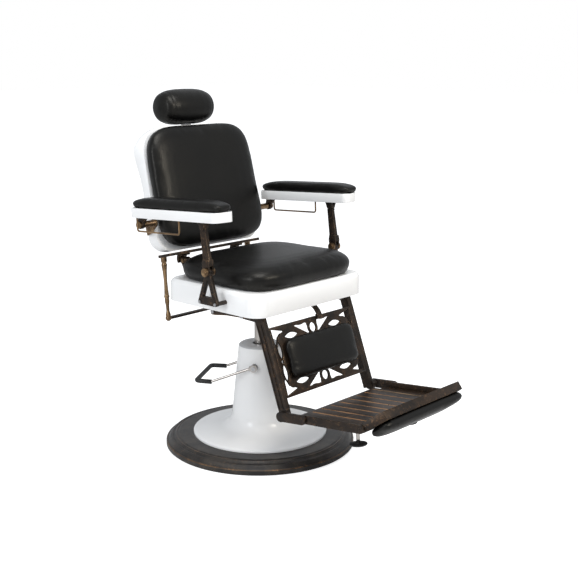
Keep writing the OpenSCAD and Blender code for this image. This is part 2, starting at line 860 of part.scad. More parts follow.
module scroll_panel() {
  color(bronze) at_leg() translate([0, rail_front + panel_t, panel_z]) rotate([90, 0, 0])
    linear_extrude(panel_t) difference() {
      square([panel_w, panel_h], center = true);
      for (m = [[0, 0, 0], [1, 0, 0], [0, 1, 0], [1, 1, 0]])
        if (m == [1, 1, 0]) rotate(180) panel_cuts();
        else mirror(m) panel_cuts();
      for (s = [-1, 1]) {
        translate([0, s * 81]) circle(16);
        translate([s * 178, 0]) circle(6);
      }
    }
}

module calf_board() {
  color(bronze) at_leg() translate([0, rail_front, panel_z]) rotate([90, 0, 0])
    linear_extrude(calf_board_t) round_rect(calf_w - 24, calf_h - 24, 8);
}

module calf_pad() {
  color(vinyl) at_leg() translate([0, rail_front - calf_board_t - gap, panel_z]) rotate([90, 0, 0])
    cushion([calf_w, calf_h, calf_t], 0.3, 0.02, 0, 44, 8);
}

// Curved strap from the panel's top rail up to the steel plate
module leg_brace() {
  color(bronze) difference() {
    union() {
      at_seat() x_plate(brace_x - brace_w / 2, brace_x + brace_w / 2) {
        intersection() {
          difference() {
            translate(brace_hub) circle(brace_r + brace_t);
            translate(brace_hub) circle(brace_r);
          }
          translate(brace_hub + [-brace_r * 2, brace_r * 0.4]) square([brace_r * 2, brace_r]);
        }
        translate(brace_hub + [-1, brace_r]) square([brace_rear - brace_hub.x + 1, brace_t]);
        translate([brace_rear - brace_t, brace_hub.y + brace_r])
          square([brace_t, frame_z - seat_z - brace_hub.y - brace_r]);
      }
      at_leg() translate([brace_x - brace_w / 2, rail_front - brace_t, -panel_top - 13])
        cube([brace_w, brace_t, 17]);
    }
    at_leg() translate([0, rail_front, -panel_top - panel_h]) cube([2 * brace_x, 2 * panel_t, panel_h]);
  }
}

// ---- back ----

// Outline of the back seen from the front, inset by d
module back_outline(d) {
  w = back_w / 2 - d;
  h = back_h - d;
  r = 100 - d;
  top = w - 12;
  hull() {
    translate([-w + 60 - d / 2, 60 + d]) circle(60 - d / 2);
    translate([w - 60 + d / 2, 60 + d]) circle(60 - d / 2);
    translate([-top + r, h - r]) circle(r);
    translate([top - r, h - r]) circle(r);
  }
}

// Side profile of the back shell, inset by d: [rear, up]
module back_profile(d) {
  polygon([[d, d - 4], [20, d - 6], [38 - d, d + 6], [44 - d, 34], [back_waist + 4 - d, 130],
           [back_waist - d, 215], [back_waist + 4 - d, 262], [back_bulge - 6 - d, 320],
           [back_bulge - d, 366], [back_bulge - 10 - d, back_h - 22 - d],
           [back_bulge - 30 - d, back_h - d], [d, back_h - d]]);
}

module back_solid(d, h) {
  intersection() {
    x_plate(-h, h) back_profile(d);
    rotate([90, 0, 0]) translate([0, 0, -200]) linear_extrude(400) back_outline(d);
  }
}

module back_shell() {
  color(enamel) at_back() difference() {
    back_solid(0, back_w);
    difference() {
      back_solid(shell_wall, back_w);
      translate([-back_w, -10, -10]) cube([back_w * 2, 10 + shell_wall, back_h * 2]);
    }
    translate([-stalk_w / 2 - 4, shell_wall + 3, back_h - 60]) cube([stalk_w + 8, stalk_t + 8, 100]);
  }
}

module back_board() {
  color(wood) at_back() rotate([90, 0, 0]) linear_extrude(board_back_t) intersection() {
    back_outline(8);
    translate([-back_w, 8]) square([back_w * 2, back_h - 40]);
  }
}

module back_cushion() {
  color(vinyl) at_back() translate([0, -board_back_t - gap, back_h / 2]) rotate([90, 0, 0])
    cushion([back_w, back_h, back_cushion_t], 0.4, 0.01, 0, 56, 10, 0.05);
}

module back_trim() {
  color(bronze) at_back() translate([-spindle_x - 14, -trim_front, trim_low])
    cube([2 * spindle_x + 28, trim_front + trim_rear, trim_t]);
}

// Curved bands under the back, with the tongues that turn on the hinge pins
module hinge_bands() {
  p = hinge_at;
  rear = p.x + 17;
  color(bronze) at_back() both_sides() difference() {
    union() {
      translate([hinge_x - band_w / 2, 0, trim_low - band_t]) cube([band_w, rear, band_t]);
      x_plate(hinge_x - band_w / 2, hinge_x + band_w / 2)
        polygon([[rear - 6, trim_low - band_t], [rear, trim_low], [rear + 4, trim_low - 6],
                 [rear + 7, trim_low - 16], [rear + 5, p.y - 4], [rear - 1, p.y - 4],
                 [rear + 1, trim_low - 16]]);
      x_plate(hinge_x - tongue_w / 2, hinge_x + tongue_w / 2) {
        bar2(p, [rear, p.y + 6], 8);
        translate(p) circle(12);
      }
    }
    x_rod(0, shell_w, p, hinge_pin_r + running_play);
  }
}

// Turned profile of a spindle along its length, from foot to top
module spindle_turning() {
  n = spindle_len;
  r = spindle_r;
  rotate_extrude() polygon([
    [0, 0], [r * 0.9, 2], [r * 0.95, n * 0.06], [r * 0.6, n * 0.12], [r * 0.62, n * 0.2],
    [r * 0.85, n * 0.28], [r * 0.8, n * 0.34], [r, n * 0.35], [r, n * 0.37], [r * 0.85, n * 0.38],
    [r * 0.7, n * 0.5], [r * 0.62, n * 0.62], [r * 0.8, n * 0.78], [r * 1.05, n * 0.88],
    [r * 0.85, n * 0.91], [r * 1.1, n * 0.94], [r * 1.1, n + 4], [0, n + 4]]);
}

module spindles() {
  d = spindle_top - spindle_foot;
  color(copper) both_sides() difference() {
    at_seat() translate([spindle_x, spindle_foot.x, spindle_foot.y]) {
      rotate([-atan2(d.x, d.y), 0, 0]) spindle_turning();
      sphere(ball_r);
    }
    at_back() translate([spindle_x - trim_t * 2, spindle_seat - trim_t * 2, trim_low])
      cube(trim_t * 4);
  }
}

module crossbar() {
  color(bronze) at_seat() difference() {
    translate([-spindle_x, spindle_foot.x - crossbar_w / 2, spindle_foot.y - crossbar_t / 2])
      cube([2 * spindle_x, crossbar_w, crossbar_t]);
    both_sides() translate([spindle_x, spindle_foot.x, spindle_foot.y]) sphere(ball_r);
  }
}

// Plates on the back's sides with stub axles, which carry the armrests
module arm_pivots() {
  color(copper) both_sides() {
    at_back() difference() {
      union() {
        x_plate(stub_plate_x, stub_plate_x + band_t) {
          translate(stub_at) circle(14);
          polygon([stub_at + [-7, -12], [8, stub_at.y - 32], [34, stub_at.y - 38], [35, stub_at.y - 8],
                   [10, stub_at.y + 3], stub_at + [5, 13]]);
        }
        x_plate(back_w / 2 - 12, stub_plate_x + 1)
          polygon([[10, stub_at.y - 27], [31, stub_at.y - 32], [31, stub_at.y - 10], [10, stub_at.y - 4]]);
      }
      rotate([90, 0, 0]) translate([0, 0, -back_w]) linear_extrude(2 * back_w) back_outline(0);
    }
    at_seat() {
      x_rod(stub_plate_x + 1, stub_end, arm_pivot, 11);
      x_rod(stub_end, arm_x + iron_t / 2 + gap, arm_pivot, link_pin_r + 1);
      x_rod(arm_x + iron_t / 2 + gap, arm_x + iron_t / 2 + gap + 6, arm_pivot, 12);
    }
  }
}

module headrest_socket() {
  color(steel) at_back() difference() {
    translate([-stalk_w / 2 - 5, shell_wall, stalk_foot - 20])
      cube([stalk_w + 10, stalk_t + 12, 120]);
    translate([-stalk_w / 2 - gap, stalk_y - gap, stalk_foot - 12])
      cube([stalk_w + 2 * gap, stalk_t + 2 * gap, 200]);
  }
}

// ---- headrest ----

module headrest_post() {
  color(steel) at_back() {
    translate([-stalk_w / 2, stalk_y, stalk_foot]) cube([stalk_w, stalk_t, pillow_z - stalk_foot - 22]);
    difference() {
      translate([-stalk_w / 2, 0, 0]) x_rod(0, stalk_w, [pillow_y, pillow_z], 12);
      x_rod(-stalk_w, stalk_w, [pillow_y, pillow_z], hinge_pin_r + running_play);
    }
    translate([-stalk_w / 2, stalk_y, pillow_z - 23]) cube([stalk_w, stalk_t, 12]);
  }
}

module headrest_bracket() {
  color(steel) at_back() {
    x_rod(-stalk_w / 2 - 20, stalk_w / 2 + 20, [pillow_y, pillow_z], hinge_pin_r);
    for (s = [-1, 1]) translate([s * (stalk_w / 2 + 14) - 5, pillow_y - 40, pillow_z - 14])
      cube([10, 46, 28]);
  }
}

module headrest_pillow() {
  half = pillow_len / 2;
  r = pillow_r;
  color(vinyl) at_back() difference() {
    translate([0, pillow_y, pillow_z]) rotate([0, 90, 0]) rotate_extrude() polygon(concat(
      [[0, -half]],
      [for (a = [-84:14:84]) [r * pow(cos(a), 0.42), (half - 4) * sign(a) * pow(abs(sin(a)), 0.72)]],
      [[0, half]]));
    translate([-stalk_w / 2 - 24, pillow_y - 40, pillow_z - 18]) cube([stalk_w + 48, 58, 36]);
    translate([-stalk_w / 2 - 2, pillow_y - 18, pillow_z - r - 10]) cube([stalk_w + 4, 44, r + 10]);
  }
}

// ---- armrests ----

// Post with a fork at its foot and an eye at its top
module arm_post(side) {
  d = post_top - post_foot;
  color(bronze) at_seat() on_side(side) difference() {
    union() {
      x_plate(arm_x - leaf_t / 2, arm_x + leaf_t / 2) {
        polygon([post_foot + [-post_foot_w / 2 + 3, 20], post_foot + [post_foot_w / 2 - 1, 20],
                 post_top + [post_top_w / 2 - 1, -12], post_top + [-post_top_w / 2 + 1, -12]]);
        translate(post_top) circle(link_eye_r - 1);
        translate(post_top - d / post_rise * 12) circle(post_top_w / 2 - 1);
      }
      for (s = [-1, 1])
        x_plate(arm_x + s * (fork_gap + fork_t / 2) - fork_t / 2,
                arm_x + s * (fork_gap + fork_t / 2) + fork_t / 2) {
          translate(post_foot) circle(link_eye_r);
          translate(post_foot) polygon([[-link_eye_r, 0], [link_eye_r, 0], [post_foot_w / 2, 24],
                   [post_foot_w / 2 - 2, 40], [-post_foot_w / 2 + 6, 40], [-post_foot_w / 2 + 2, 24]]);
        }
      x_plate(arm_x - fork_gap - fork_t, arm_x + fork_gap + fork_t)
        translate(post_foot) polygon([[-post_foot_w / 2 + 2, 20], [post_foot_w / 2, 20],
                 [post_foot_w / 2 - 2, 40], [-post_foot_w / 2 + 6, 40]]);
    }
    x_rod(0, arm_x * 2, post_foot, link_pin_r + running_play);
    x_rod(0, arm_x * 2, post_top, link_pin_r + gap);
    x_plate(arm_x - fork_gap, arm_x + fork_gap) translate(post_foot) circle(link_eye_r + 3);
  }
}

module arm_post_right() { arm_post(RIGHT); }
module arm_post_left() { arm_post(LEFT); }

// The armrest's outline in plan, inset by d: wide at the rear, rounded at the nose
module arm_plan(d) {
  w = arm_w / 2 - d;
  hull() {
    translate([-w + 14, arm_tail - 14 - d]) circle(14);
    translate([w - 14, arm_tail - 14 - d]) circle(14);
    translate([w - 22, arm_tail - arm_len + 30 + d]) circle(22);
    translate([-w + 20, arm_tail - arm_len + 20 + d]) circle(20);
  }
}

module arm_shell(side) {
  color(enamel) at_arm(side) difference() {
    translate([0, 0, arm_under]) linear_extrude(arm_h) arm_plan(0);
    translate([0, 0, arm_under + 5]) linear_extrude(arm_h) arm_plan(arm_inset);
  }
}

module arm_shell_right() { arm_shell(RIGHT); }
module arm_shell_left() { arm_shell(LEFT); }

module arm_pad(side) {
  color(vinyl) at_arm(side) translate([0, arm_tail - arm_len / 2, arm_under + arm_h + gap])
    cushion([arm_w - 2, arm_len - 2, arm_pad_h], 0.34, 0.004, 0, 44, 7);
}

module arm_pad_right() { arm_pad(RIGHT); }
module arm_pad_left() { arm_pad(LEFT); }

// Rear lug and front fork under the armrest, with the pin that joins the post
module arm_irons(side) {
  color(bronze) at_arm(side) {
    difference() {
      x_plate(-iron_t / 2, iron_t / 2) {
        translate([0, 0]) circle(14);
        polygon([[-13, 4], [13, 0], [4, arm_under], [-34, arm_under]]);
      }
      x_rod(-arm_w, arm_w, [0, 0], link_pin_r + 1 + running_play);
    }
    for (s = [-1, 1])
      x_plate(s * (fork_gap + fork_t / 2) - fork_t / 2, s * (fork_gap + fork_t / 2) + fork_t / 2) {
        translate(fork_at) circle(11);
        polygon([fork_at + [-11, 0], fork_at + [11, 0], [fork_at.x + 17, arm_under],
                 [fork_at.x - 17, arm_under]]);
      }
    x_rod(-fork_gap - fork_t, fork_gap + fork_t, fork_at, link_pin_r);
  }
}

module arm_irons_right() { arm_irons(RIGHT); }
module arm_irons_left() { arm_irons(LEFT); }

// Bend of the towel wire in the YZ plane, from angle a to angle a - 90
function wire_arc(x, y, z, a) = [for (t = [0:30:90])
  [x, y + wire_bend * cos(a - t), z + wire_bend * sin(a - t)]];

module towel_wire(side) {
  x = arm_w / 2 - 16;
  y0 = -8;
  y1 = y0 - wire_len;
  z = arm_under - wire_drop + wire_bend;
  path = concat([[x, y0, arm_under]], wire_arc(x, y0 - wire_bend, z, 0),
                wire_arc(x, y1 + wire_bend, z, -90), [[x, y1, arm_under]]);
  color(copper) at_arm(side) tube(path, wire_r, 12, [1, 0, 0]);
}

module towel_wire_right() { towel_wire(RIGHT); }
module towel_wire_left() { towel_wire(LEFT); }

// ---- footrest ----

module foot_tread() {
  w = 2 * side_x - 2 * gap;
  pitch = w / (groove_n + 1);
  color(bronze) at_foot() difference() {
    translate([-w / 2, -tread_front, -side_h / 2]) cube([w, tread_front + tread_rear, tread_t]);
    for (i = [1:groove_n])
      translate([-w / 2 + i * pitch - 2, -tread_front + 12, tread_t - side_h / 2 - 2])
        cube([4, tread_front + tread_rear - 24, 4]);
    both_sides() translate([rail_x - rail_w / 2 - 3, 30, -side_h])
      cube([side_t * 6, tread_rear, side_h * 2]);
  }
}

module side_plates() {
  color(bronze) at_foot() both_sides() difference() {
    union() {
      x_plate(side_x, side_x + side_t) bar2([0, 0], [-foot_len, 0], side_h / 2);
      x_rod(side_x + side_t, lug_x + lug_t, [0, 0], link_pin_r);
    }
    x_rod(0, side_x * 2, [-foot_len, 0], link_pin_r + running_play);
  }
}

module foot_stems() {
  color(chrome) at_foot() both_sides()
    translate([stem_x, -stem_y, -side_h / 2 - foot_drop + 8]) cylinder(h = foot_drop - 8, r = stem_r);
}

module foot_pads() {
  color(rubber) at_foot() both_sides()
    translate([stem_x, -stem_y, -side_h / 2 - foot_drop]) rotate_extrude() polygon([
      [0, 0], [foot_r - 2, 0], [foot_r, 2], [foot_r, 5], [12, 8], [0, 8]]);
}

// The toe board's outline, in the plane of the board
module toe_outline(d) {
  polygon([[-toe_half + d, 0], [toe_half - d, 0], [toe_half_end - d, -toe_len + d],
           [-toe_half_end + d, -toe_len + d]]);
}

module toe_frame() {
  color(bronze) at_toe() {
    difference() {
      translate([0, 0, -toe_t / 2]) linear_extrude(toe_t) toe_outline(0);
      translate([0, 0, -toe_t / 2 - 1]) linear_extrude(9) toe_outline(9);
    }
    x_rod(-toe_half, toe_half, [0, 0], toe_t / 2);
    x_rod(-side_x - side_t, side_x + side_t, [0, 0], link_pin_r);
  }
}

module toe_pad() {
  color(vinyl) at_toe() translate([0, -toe_len / 2 + 4, -toe_t / 2 - gap]) rotate([180, 0, 0])
    cushion([2 * toe_half_end - 10, toe_len, 32], 0.3, 0.01, 0, 48, 8);
}

// ---- choice of node ----

floor_pad();
base_ring();
pump_cover();
cover_cap();
pump_tank();
pump_cylinder();
gland_nut();
ram_seal();
base_bolts();
lever_bushes();
lever_yoke();
lever_rod();
lever_grip();
lever_clamps();
pump_plunger();
ram();
seat_plate();
seat_bolts();
seat_frame();
seat_board();
seat_shell();
seat_cushion();
arm_bracket_right();
arm_bracket_left();
hinge_posts();
hinge_pins();
leg_arms();
leg_rails();
scroll_panel();
calf_board();
calf_pad();
leg_brace();
back_shell();
back_board();
back_cushion();
back_trim();
hinge_bands();
spindles();
crossbar();
arm_pivots();
headrest_socket();
headrest_post();
headrest_bracket();
headrest_pillow();
arm_post_right();
arm_post_left();
arm_shell_right();
arm_shell_left();
arm_pad_right();
arm_pad_left();
arm_irons_right();
arm_irons_left();
towel_wire_right();
towel_wire_left();
foot_tread();
side_plates();
foot_stems();
foot_pads();
toe_frame();
toe_pad();
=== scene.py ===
"""Dresses the hydraulic barber chair: its castings, enamel shells, chrome and vinyl cushions."""

import json
import math

import bmesh
import bpy
from mathutils import Matrix, Vector

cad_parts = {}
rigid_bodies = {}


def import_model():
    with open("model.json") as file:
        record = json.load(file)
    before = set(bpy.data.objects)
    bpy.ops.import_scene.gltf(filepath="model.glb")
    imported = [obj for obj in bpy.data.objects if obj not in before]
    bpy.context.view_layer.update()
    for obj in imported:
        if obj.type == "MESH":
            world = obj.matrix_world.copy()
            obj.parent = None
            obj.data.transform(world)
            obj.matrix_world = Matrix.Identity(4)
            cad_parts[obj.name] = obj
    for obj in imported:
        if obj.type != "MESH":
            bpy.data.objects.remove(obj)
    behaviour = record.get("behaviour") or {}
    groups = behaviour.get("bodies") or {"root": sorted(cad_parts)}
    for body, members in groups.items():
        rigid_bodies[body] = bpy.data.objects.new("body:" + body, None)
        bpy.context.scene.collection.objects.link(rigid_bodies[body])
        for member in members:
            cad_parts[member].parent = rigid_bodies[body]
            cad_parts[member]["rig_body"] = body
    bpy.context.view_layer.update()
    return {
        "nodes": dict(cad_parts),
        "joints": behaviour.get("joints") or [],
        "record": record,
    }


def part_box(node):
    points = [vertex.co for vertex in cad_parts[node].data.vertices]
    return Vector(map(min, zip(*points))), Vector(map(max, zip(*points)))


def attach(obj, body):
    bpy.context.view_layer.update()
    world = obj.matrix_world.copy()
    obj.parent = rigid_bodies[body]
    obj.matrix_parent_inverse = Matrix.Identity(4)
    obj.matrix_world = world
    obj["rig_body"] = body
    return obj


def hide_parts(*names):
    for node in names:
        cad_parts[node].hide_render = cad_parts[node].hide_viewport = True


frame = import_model()
nodes = frame["nodes"]
joints = {j["name"]: j for j in frame["joints"]}
BODY_OF = {n: o["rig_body"] for n, o in nodes.items()}

SIDES = (1, -1)
SIDE_NAMES = ("left", "right")

# ---- places on the chair, in metres and degrees ----

BACK_LEAN = 14.3
BACK_FOOT = Vector((0, 0.234, 0.676))
LEG_LEAN = 20.4
FOOT_RISE = 5.8


def tilted(origin, degrees):
    """Frame at origin whose Z leans towards +Y by that many degrees."""
    return Matrix.Translation(origin) @ Matrix.Rotation(math.radians(-degrees), 4, "X")


def joint_at(name):
    return Vector(joints[name]["pos_m"])


BACK = tilted(BACK_FOOT, BACK_LEAN)
FOOT = tilted(joint_at("footrest_hinge"), FOOT_RISE)

# ---- small tools ----

AS_BESIDE = -1  # a bevel takes the material of the faces beside it


def rounded(corners, steps=4, share=0.49):
    """Points of an open outline given as corners (x, y, radius). No arc takes over share of a side."""
    points = []
    ends = (0, len(corners) - 1)
    for i, (x, y, radius) in enumerate(corners):
        here = Vector((x, y))
        if radius == 0 or i in ends:
            points.append(here)
            continue
        back = Vector(corners[i - 1][:2]) - here
        ahead = Vector(corners[i + 1][:2]) - here
        half = back.angle(ahead) / 2
        reach = min(radius / math.tan(half), back.length * share, ahead.length * share)
        back.normalize()
        ahead.normalize()
        middle = (back + ahead).normalized()
        centre = here + middle * (reach / math.cos(half))
        first = here + back * reach - centre
        last = here + ahead * reach - centre
        turn = math.atan2(first.cross(last), first.dot(last))
        for k in range(steps + 1):
            points.append(centre + Matrix.Rotation(turn * k / steps, 2) @ first)
    return points


def link(mesh, name):
    piece = bpy.data.objects.new(name, mesh)
    bpy.context.scene.collection.objects.link(piece)
    return piece


def finish_piece(bm, name, body, materials, stands_for, sharp=35):
    """Turns the bmesh into a piece that rides on body and stands for the CAD nodes."""
    mesh = bpy.data.meshes.new(name)
    bm.to_mesh(mesh)
    bm.free()
    for material in materials:
        mesh.materials.append(material)
    mesh.shade_smooth()
    mesh.set_sharp_from_angle(angle=math.radians(sharp))
    piece = link(mesh, name)
    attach(piece, body)
    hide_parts(*stands_for)
    return piece


def subdivided(piece, levels=1):
    modifier = piece.modifiers.new("Subdivision", "SUBSURF")
    modifier.levels = levels
    modifier.render_levels = levels


def copy_of(node, whole_faces=False, merge_distance=1e-5, flat_angle=1):
    """A merged copy of a CAD node's mesh. Whole faces suit nodes without openings only."""
    bm = bmesh.new()
    bm.from_mesh(nodes[node].data)
    bmesh.ops.remove_doubles(bm, verts=bm.verts, dist=merge_distance)
    if whole_faces:
        flat = math.radians(flat_angle)
        bmesh.ops.dissolve_limit(bm, angle_limit=flat, verts=bm.verts, edges=bm.edges)
    return bm


def slimmed(bm, amount):
    """Draws the surface in along its normals."""
    bm.normal_update()
    for vertex, inward in [(v, v.normal * -amount) for v in bm.verts]:
        vertex.co += inward


def break_edges(bm, width, segments=2, angle=30, material=AS_BESIDE):
    """Rounds the sharp edges, as a casting's are, and gives them a material of their own if asked."""
    limit = math.radians(angle)
    sharp = [e for e in bm.edges if len(e.link_faces) == 2 and e.calc_face_angle() > limit]
    bmesh.ops.bevel(
        bm,
        geom=sharp,
        offset=width,
        segments=segments,
        profile=0.5,
        affect="EDGES",
        material=material,
        clamp_overlap=True,
    )


def finished(bm, node, materials, sharp=35):
    """The bmesh as the finished form of one CAD node, on that node's own body."""
    return finish_piece(bm, node + "_finished", BODY_OF[node], materials, [node], sharp)


def turned(node, name, profile, materials, steps, sharp=35):
    """A turned piece from its profile, given as (radius, height, corner radius)."""
    bm = bmesh.new()
    points = rounded(profile)
    verts = [bm.verts.new((p.x, 0, p.y)) for p in points]
    edges = [bm.edges.new(pair) for pair in zip(verts, verts[1:])]
    geom = verts + edges
    axis = (0, 0, 1)
    bmesh.ops.spin(bm, geom=geom, cent=(0, 0, 0), axis=axis, angle=math.tau, steps=steps, use_merge=True)
    bmesh.ops.remove_doubles(bm, verts=bm.verts, dist=1e-6)
    bmesh.ops.recalc_face_normals(bm, faces=bm.faces)
    return finish_piece(bm, name, BODY_OF[node], materials, [node], sharp)


# ---- materials ----


class Sheet:
    """A node tree with short calls for adding and joining nodes."""

    def __init__(self, tree):
        self.tree = tree

    def add(self, kind, **values):
        node = self.tree.nodes.new(kind)
        for key, value in values.items():
            if key.startswith("in_"):
                wanted = key[3:]
                socket = int(wanted) if wanted.isdigit() else wanted.replace("_", " ")
                self.give(node.inputs[socket], value)
            else:
                setattr(node, key, value)
        return node

    def give(self, socket, value):
        if isinstance(value, bpy.types.NodeSocket):
            self.tree.links.new(value, socket)
        else:
            socket.default_value = value

    def noise(self, where, scale, detail=4.0, rough=0.55):
        node = self.add("ShaderNodeTexNoise", in_Vector=where, in_Scale=scale, in_Detail=detail)
        self.give(node.inputs["Roughness"], rough)
        return node.outputs["Fac"]

    def step(self, value, low, high, to_low=0.0, to_high=1.0):
        node = self.add("ShaderNodeMapRange", clamp=True, interpolation_type="SMOOTHSTEP")
        for socket, given in zip(node.inputs[:5], (value, low, high, to_low, to_high)):
            self.give(socket, given)
        return node.outputs[0]

    def math(self, operation, a, b):
        node = self.add("ShaderNodeMath", operation=operation, in_0=a, in_1=b)
        return node.outputs[0]

    def mix(self, share, a, b):
        node = self.add("ShaderNodeMix", data_type="RGBA")
        self.give(node.inputs[0], share)
        self.give(node.inputs[6], a)
        self.give(node.inputs[7], b)
        return node.outputs[2]


def effect(name, inputs, outputs, build):
    """A shader node group with named inputs and outputs."""
    group = bpy.data.node_groups.new(name, "ShaderNodeTree")
    for label, kind, default in inputs:
        socket = group.interface.new_socket(label, in_out="INPUT", socket_type=kind)
        if default is not None:
            socket.default_value = default
    for label, kind in outputs:
        group.interface.new_socket(label, in_out="OUTPUT", socket_type=kind)
    sheet = Sheet(group)
    given = group.nodes.new("NodeGroupInput")
    result = group.nodes.new("NodeGroupOutput")
    build(sheet, given.outputs, result.inputs)
    return group


def build_patina(s, given, out):
    """Antique lacquer: dark ground, brown clouds and rubbed copper flecks."""
    where = given["Vector"]
    clouds = s.step(s.noise(where, 14.0, 5.0, 0.6), 0.38, 0.66)
    flecks = s.noise(where, 120.0, 6.0, 0.7)
    broad = s.noise(where, 26.0, 4.0, 0.6)
    rubbed = s.math("MULTIPLY", s.step(flecks, 0.48, 0.68), s.step(broad, 0.4, 0.7))
    rubbed = s.math("MULTIPLY", rubbed, given["Rub"])
    ground = s.mix(clouds, given["Ground"], given["Cloud"])
    s.give(out["Color"], s.mix(rubbed, ground, given["Bright"]))
    s.give(out["Rubbed"], rubbed)
    s.give(out["Height"], s.math("ADD", s.math("MULTIPLY", flecks, 0.6), s.math("MULTIPLY", broad, 0.4)))


def build_grain(s, given, out):
    """Embossed vinyl grain: small pebbles over a soft unevenness."""
    pebbles = s.add("ShaderNodeTexVoronoi", in_Vector=given["Vector"], in_Scale=given["Scale"], feature="F1")
    fine = s.noise(given["Vector"], 900.0, 2.0)
    soft = s.noise(given["Vector"], 9.0, 3.0)
    height = s.math("MULTIPLY", s.step(pebbles.outputs["Distance"], 0.1, 0.75), 0.7)
    s.give(out["Height"], s.math("ADD", height, s.math("MULTIPLY", fine, 0.3)))
    s.give(out["Unevenness"], soft)


PATINA = effect(
    "patina",
    [
        ("Vector", "NodeSocketVector", None),
        ("Ground", "NodeSocketColor", (0.02, 0.016, 0.013, 1)),
        ("Cloud", "NodeSocketColor", (0.07, 0.045, 0.03, 1)),
        ("Bright", "NodeSocketColor", (0.5, 0.3, 0.16, 1)),
        ("Rub", "NodeSocketFloat", 1.0),
    ],
    [("Color", "NodeSocketColor"), ("Rubbed", "NodeSocketFloat"), ("Height", "NodeSocketFloat")],
    build_patina,
)
GRAIN = effect(
    "grain",
    [("Vector", "NodeSocketVector", None), ("Scale", "NodeSocketFloat", 520.0)],
    [("Height", "NodeSocketFloat"), ("Unevenness", "NodeSocketFloat")],
    build_grain,
)


def new_material(name):
    """A material with its sheet, its Principled shader and Object coordinates."""
    material = bpy.data.materials.new(name)
    material.use_nodes = True
    sheet = Sheet(material.node_tree)
    shader = material.node_tree.nodes["Principled BSDF"]
    where = sheet.add("ShaderNodeTexCoord").outputs["Object"]
    return material, sheet, shader, where


def bump(sheet, shader, height, strength, distance):
    node = sheet.add("ShaderNodeBump", in_Strength=strength, in_Distance=distance, in_Height=height)
    sheet.give(shader.inputs["Normal"], node.outputs[0])


def use_group(sheet, group, **values):
    node = sheet.add("ShaderNodeGroup", node_tree=group)
    for key, value in values.items():
        sheet.give(node.inputs[key], value)
    return node.outputs


def bronze(name, ground, cloud, bright, rub, roughness=0.42, metallic=0.6):
    material, s, shader, where = new_material(name)
    tones = {"Ground": (*ground, 1), "Cloud": (*cloud, 1), "Bright": (*bright, 1)}
    out = use_group(s, PATINA, Vector=where, Rub=rub, **tones)
    s.give(shader.inputs["Base Color"], out["Color"])
    s.give(shader.inputs["Roughness"], s.step(out["Rubbed"], 0.0, 1.0, roughness, roughness - 0.14))
    s.give(shader.inputs["Metallic"], s.step(out["Rubbed"], 0.0, 1.0, metallic, 0.95))
    bump(s, shader, out["Height"], 0.25, 0.0006)
    return material


def enamel_paint():
    material, s, shader, where = new_material("white enamel")
    shade = s.step(s.noise(where, 5.0, 3.0), 0.3, 0.7)
    s.give(shader.inputs["Base Color"], s.mix(shade, (0.9, 0.895, 0.885, 1), (0.93, 0.93, 0.925, 1)))
    s.give(shader.inputs["Roughness"], s.step(s.noise(where, 60.0, 3.0), 0.3, 0.7, 0.22, 0.27))
    shader.inputs["Coat Weight"].default_value = 0.3
    shader.inputs["Coat Roughness"].default_value = 0.1
    bump(s, shader, s.noise(where, 24.0, 2.0), 0.02, 0.0004)
    return material


def black_vinyl():
    material, s, shader, where = new_material("black vinyl")
    out = use_group(s, GRAIN, Vector=where, Scale=520.0)
    tone = s.step(out["Unevenness"], 0.3, 0.7)
    s.give(shader.inputs["Base Color"], s.mix(tone, (0.0016, 0.0016, 0.0018, 1), (0.003, 0.0028, 0.0025, 1)))
    s.give(shader.inputs["Roughness"], s.step(out["Height"], 0.2, 0.9, 0.29, 0.38))
    shader.inputs["Specular IOR Level"].default_value = 0.28
    shader.inputs["Specular Tint"].default_value = (1.0, 0.97, 0.9, 1)
    bump(s, shader, out["Height"], 0.3, 0.0004)
    return material


def plain_metal(name, colour, roughness, brushed=0.0):
    material, s, shader, where = new_material(name)
    stretched = s.add("ShaderNodeMapping", in_Vector=where)
    stretched.inputs["Scale"].default_value = (1, 1, 0.04) if brushed else (1, 1, 1)
    grain = s.noise(stretched.outputs[0], 300.0, 3.0)
    low = tuple(c * 0.88 for c in colour)
    s.give(shader.inputs["Base Color"], s.mix(grain, (*low, 1), (*colour, 1)))
    s.give(shader.inputs["Roughness"], s.step(grain, 0.3, 0.7, roughness, roughness + 0.08))
    shader.inputs["Metallic"].default_value = 1
    if brushed:
        bump(s, shader, grain, brushed, 0.0002)
    return material


def plain_surface(name, dark, light, roughness, scale, strength):
    material, s, shader, where = new_material(name)
    cloud = s.noise(where, scale, 4.0)
    s.give(shader.inputs["Base Color"], s.mix(cloud, (*dark, 1), (*light, 1)))
    s.give(shader.inputs["Roughness"], s.step(cloud, 0.3, 0.7, roughness, roughness + 0.1))
    bump(s, shader, cloud, strength, 0.0005)
    return material


DARK = (0.016, 0.012, 0.0095)
BROWN = (0.042, 0.026, 0.016)
COPPER = (0.46, 0.25, 0.12)
GOLD = (0.62, 0.42, 0.22)

casting = bronze("antique bronze", DARK, BROWN, COPPER, 0.3)
PALE_COPPER = (0.75, 0.42, 0.2)
DULL_COPPER = (0.22, 0.14, 0.08)
EDGE_TONES = ((0.16, 0.1, 0.055), (0.4, 0.26, 0.14), GOLD)
TURNED_TONES = ((0.12, 0.075, 0.042), (0.33, 0.21, 0.11), GOLD)
GROOVE_HIGHLIGHT_TONES = ((0.24, 0.125, 0.06), (0.55, 0.29, 0.14), PALE_COPPER)
RING_TONES = ((0.022, 0.02, 0.019), (0.05, 0.043, 0.037), DULL_COPPER)
